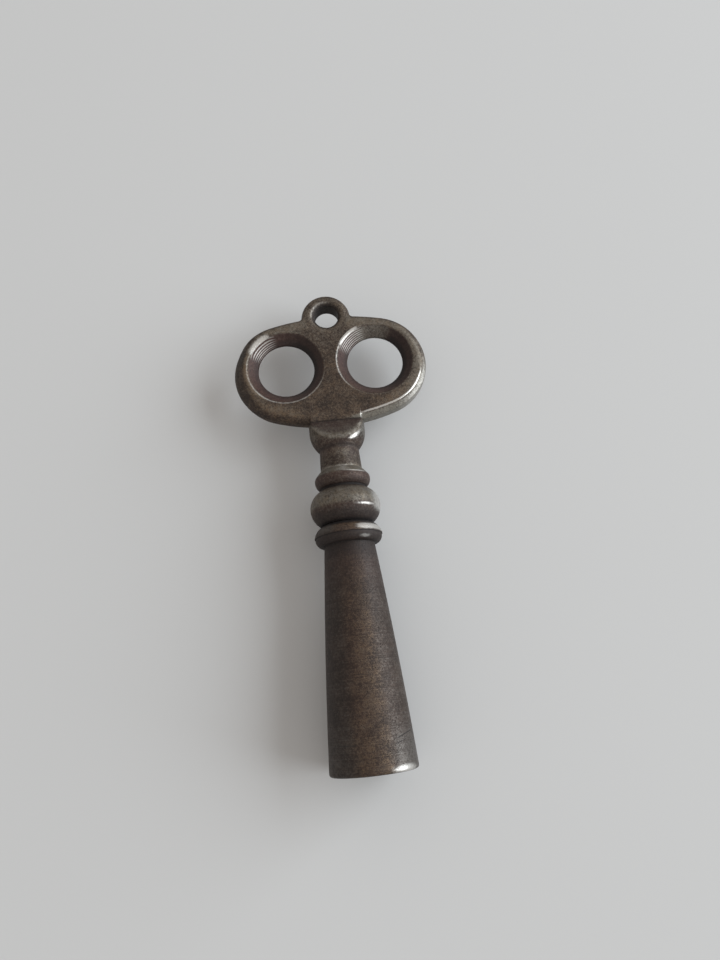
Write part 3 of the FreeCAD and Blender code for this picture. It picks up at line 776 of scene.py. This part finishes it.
def iron(name, brown, grey, rubbed_share, turned_marks, scratches=()):
    """Brown patina over worn iron, with rust, pits, grime and bright edges, and with painted highlights,
    reflections and shade.
    """
    s = Shader(name)
    patches = s.noise(scale=0.5, detail=4.0, rough=0.65)
    tone = s.noise(scale=1.3, detail=3.0, rough=0.6)
    mottle = s.noise(scale=3.0, detail=4.0, rough=0.7)
    grain = s.noise(scale=9.0, detail=3.0, rough=0.65)
    specks = s.noise(scale=5.0, detail=2.0, rough=0.6)
    base = s.mix(s.step(s.between(0.55, patches, mottle), 0.4, 0.6), DARK_UMBER, UMBER)
    red = s.math("MULTIPLY", s.attribute("rust"), s.between(s.step(mottle, 0.35, 0.65), 0.45, 1.0))
    base = s.mix(red, base, RUST)
    cover = s.math("ADD", s.between(0.45, mottle, grain), rubbed_share)
    cover = s.math("ADD", cover, s.math("MULTIPLY", s.attribute("rub"), RUB_AND_SHEEN_GAIN))
    cover = s.math("ADD", cover, s.math("MULTIPLY", s.math("SUBTRACT", patches, 0.5), PATCH_GAIN))
    if turned_marks:
        lines = s.noise(scale=1.0, detail=2.0, rough=0.5, place=s.stretched(0.05, 7.0, 0.05))
        cover = s.math("ADD", cover, s.math("MULTIPLY", s.math("SUBTRACT", lines, 0.5), LINE_GAIN))
    # Rubbed iron; some rubbed patches are painted sheen and reflection on the sides that face the lamp.
    rubbed = s.math("MULTIPLY", s.step(cover, 0.46, 0.8), s.between(red, 1.0, RUBBED_ON_RUST))
    varied = s.math("MULTIPLY", s.step(tone, 0.35, 0.65), TONE_GAIN)
    # Rubbed metal turns cooler and greyer with random tone, and with a painted reflection of the lamp and
    # floor on the sides that face them.
    grey_and_reflection_share = s.math("ADD", varied, s.attribute("grey"), clamp=True)
    worn_metal_and_reflection = s.mix(grey_and_reflection_share, brown, grey)
    base = s.mix(rubbed, base, worn_metal_and_reflection)
    pits = s.step(s.between(0.35, specks, mottle), 0.54, 0.66)
    base = s.mix(s.math("MULTIPLY", pits, PIT_DARKNESS), base, SOOT_AND_SHADE)
    # Bright worn metal; part of it is painted highlight, placed where the lamp's glints fall.
    broken = s.math("MULTIPLY", s.attribute("wear"), s.between(s.step(mottle, 0.3, 0.7), 0.7, 1.2))
    edge = s.step(broken, 0.08, 0.85)
    cut = s.math("SINE", s.math("MULTIPLY", s.height(), math.tau / RING_PITCH))
    rings = s.math("MULTIPLY", s.attribute("rings"), s.step(s.between(0.5, cut, grain), 0.1, 0.65))
    edge = s.math("MAXIMUM", edge, s.math("MULTIPLY", rings, RING_BRIGHTNESS))
    pits = s.math("MULTIPLY", pits, s.math("SUBTRACT", 1.0, edge))
    base = s.mix(edge, base, BRIGHT_WEAR_AND_GLINT)
    # Soot over grime and scratches, and over the painted shade in creases, under parts and on shaded
    # sides.
    dirt = s.math("MULTIPLY", s.attribute("dirt"), s.between(grain, 0.6, 1.4), clamp=True)
    for scratch in scratches:
        dirt = s.math("MAXIMUM", dirt, s.math("MULTIPLY", s.scratch(*scratch), SCRATCH_DARKNESS))
    base = s.mix(dirt, base, SOOT_AND_SHADE)
    s.feed(s.surface.inputs["Base Color"], base)
    rough = s.between(rubbed, PATINA_ROUGH, RUBBED_ROUGH)
    rough = s.between(edge, rough, BRIGHT_ROUGH)
    rough = s.between(s.math("MAXIMUM", dirt, pits), rough, DIRTY_ROUGH)
    s.feed(s.surface.inputs["Roughness"], rough)
    metal = s.between(red, s.between(rubbed, PATINA_METAL, RUBBED_METAL), RUST_METAL)
    metal = s.math("MULTIPLY", s.between(edge, metal, BRIGHT_METAL), s.math("SUBTRACT", 1.0, dirt))
    s.feed(s.surface.inputs["Metallic"], metal)
    s.surface.inputs["Specular IOR Level"].default_value = SPECULAR
    height = s.math("MULTIPLY", grain, GRAIN_HEIGHT)
    height = s.math("ADD", height, s.math("MULTIPLY", mottle, MOTTLE_HEIGHT))
    height = s.math("SUBTRACT", height, s.math("MULTIPLY", pits, PIT_HEIGHT))
    height = s.math("SUBTRACT", height, s.math("MULTIPLY", dirt, DIRT_HEIGHT))
    if turned_marks:
        height = s.math("ADD", height, s.math("MULTIPLY", lines, LINE_HEIGHT))
    ring_depth = s.math("MULTIPLY", s.attribute("rings"), RING_HEIGHT)
    height = s.math("ADD", height, s.math("MULTIPLY", cut, ring_depth))
    strength = s.between(edge, 1.0, BRIGHT_RELIEF)
    s.feed(s.surface.inputs["Normal"], s.bump(height, BUMP_DEPTH, strength))
    return s.material


def steel(name):
    """Dull steel of the socket bush."""
    s = Shader(name)
    mottle = s.noise(scale=1.2, detail=4.0, rough=0.6)
    base = s.mix(s.step(mottle, 0.4, 0.65), STEEL_DARK, STEEL_LIGHT)
    s.feed(s.surface.inputs["Base Color"], base)
    s.feed(s.surface.inputs["Roughness"], s.between(mottle, 0.35, 0.6))
    s.surface.inputs["Metallic"].default_value = STEEL_METAL
    grain = s.noise(scale=8.0, detail=2.0, rough=0.55)
    s.feed(s.surface.inputs["Normal"], s.bump(grain, STEEL_BUMP))
    return s.material


def dress(piece, material, node):
    """Give a worn piece its material and put it in its node's place."""
    piece.data.materials.append(material)
    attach(piece, "root")
    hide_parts(node)


def make_floor():
    """Plain pale floor under the key."""
    level = min(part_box(node)[0][2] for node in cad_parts)
    mesh = bpy.data.meshes.new("floor")
    corners = [(across * FLOOR_HALF, along * FLOOR_HALF, level)
               for across, along in ((-1, -1), (1, -1), (1, 1), (-1, 1))]
    mesh.from_pydata(corners, [], [(0, 1, 2, 3)])
    floor = link_mesh("floor", mesh)
    material = bpy.data.materials.new("floor_pale")
    material.use_nodes = True
    shader = material.node_tree.nodes["Principled BSDF"]
    shader.inputs["Base Color"].default_value = FLOOR_COLOUR
    shader.inputs["Roughness"].default_value = FLOOR_ROUGH
    mesh.materials.append(material)


def make_camera():
    """Camera at the photograph's viewpoint."""
    data = bpy.data.cameras.new("camera")
    data.sensor_width = SENSOR_WIDTH
    data.lens = LENS
    data.clip_start = NEAREST_SEEN
    camera = bpy.data.objects.new("camera", data)
    bpy.context.collection.objects.link(camera)
    place = Vector(CAMERA_PLACE) * MM
    target = Vector(CAMERA_TARGET) * MM
    roll = math.radians(CAMERA_ROLL)
    forward = (target - place).normalized()
    up = Vector((0, 1, 0))
    up = (up - forward * up.dot(forward)).normalized()
    up.rotate(Matrix.Rotation(roll, 3, forward))
    right = forward.cross(up)
    turn = Matrix((right, up, -forward)).transposed()
    camera.matrix_world = Matrix.Translation(place) @ turn.to_4x4()
    bpy.context.scene.camera = camera


def make_light():
    """Even studio light with a large lamp like a window on the right."""
    world = bpy.data.worlds.new("world")
    world.use_nodes = True
    back = world.node_tree.nodes["Background"]
    back.inputs["Color"].default_value = WORLD_TINT
    back.inputs["Strength"].default_value = WORLD_STRENGTH
    bpy.context.scene.world = world
    data = bpy.data.lights.new("window", "AREA")
    data.shape = "RECTANGLE"
    data.size, data.size_y = (side * MM for side in LAMP_SIZE)
    data.energy = LAMP_POWER
    data.color = LAMP_TINT
    lamp = bpy.data.objects.new("window", data)
    bpy.context.collection.objects.link(lamp)
    place, target = Vector(LAMP_PLACE) * MM, Vector(LAMP_TARGET) * MM
    lamp.location = place
    lamp.rotation_euler = (target - place).to_track_quat("-Z", "Y").to_euler()


make_camera()
make_light()
make_floor()
bow_iron = iron(
    "bow_iron", brown=(0.165, 0.118, 0.08, 1.0), grey=(0.23, 0.215, 0.185, 1.0),
    rubbed_share=0.04, turned_marks=False)
stem_iron = iron(
    "stem_iron", brown=(0.155, 0.125, 0.09, 1.0), grey=(0.24, 0.24, 0.225, 1.0),
    rubbed_share=0.03, turned_marks=False)
# Each scratch: start and end across and up the key, and width, in millimetres.
barrel_scratches = (
    ((-5.1, 3.9), (-1.1, 3.7), 0.09),
    ((3.0, 4.0), (5.5, 4.9), 0.1),
    ((2.6, 3.3), (4.6, 3.9), 0.07),
    ((-1.5, 12.4), (1.2, 12.0), 0.05),
)
barrel_iron = iron(
    "barrel_iron", brown=(0.14, 0.098, 0.063, 1.0), grey=(0.12, 0.109, 0.1, 1.0),
    rubbed_share=0.03, turned_marks=True, scratches=barrel_scratches)
for piece, marks, material, node, slot in (
    (make_bow(), bow_marks, bow_iron, "bow", "bow_iron"),
    (make_stem(), stem_marks, stem_iron, "stem", "stem_iron"),
    (make_barrel(), barrel_marks, barrel_iron, "barrel", "barrel_iron"),
):
    mark(piece, marks)
    dress(piece, material, node)
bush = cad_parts["socket_bush"]
bush.data.materials.clear()
bush.data.materials.append(steel("socket_steel"))

bpy.context.scene.view_settings.view_transform = "Standard"
